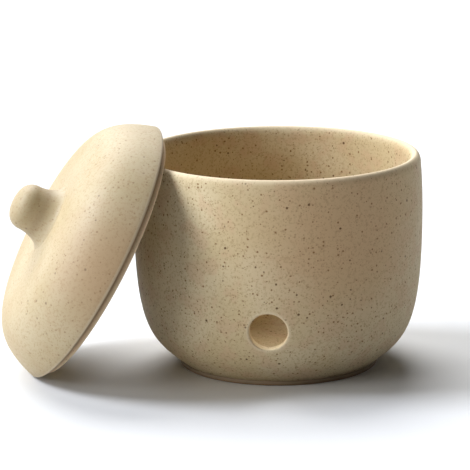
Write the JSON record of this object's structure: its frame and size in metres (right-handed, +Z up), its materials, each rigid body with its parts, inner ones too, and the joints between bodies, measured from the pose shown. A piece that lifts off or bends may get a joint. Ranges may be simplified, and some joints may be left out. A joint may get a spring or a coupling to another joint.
{
  "type": "garlic keeper",
  "caption": "Round stoneware garlic keeper: a vented pot on a low foot ring with its domed, knobbed lid lifted off and leaning against the lip.",
  "frame": {"origin": "on the pot's axis at the underside of its foot ring, level with the table", "axes": "+Z up along the pot's axis, -Y out through the front vent, -X towards the side where the lid leans"},
  "size_m": [0.1968, 0.1522, 0.1146],
  "materials": {
    "speckled_glaze": "matte beige glaze with fine brown specks",
    "bare_clay": "unglazed warm buff clay"
  },
  "bodies": {
    "pot": {"pot_body": "speckled_glaze", "pot_foot_ring": "bare_clay"},
    "lid": {"lid_dome": "speckled_glaze", "lid_locating_ring": "bare_clay", "lid_knob": "speckled_glaze"}
  },
  "joints": [
    {"name": "lid_lift", "type": "slide", "parent": "pot", "child": "lid", "axis": [0, 0, 1], "range_m": [0, 0.12]}
  ]
}
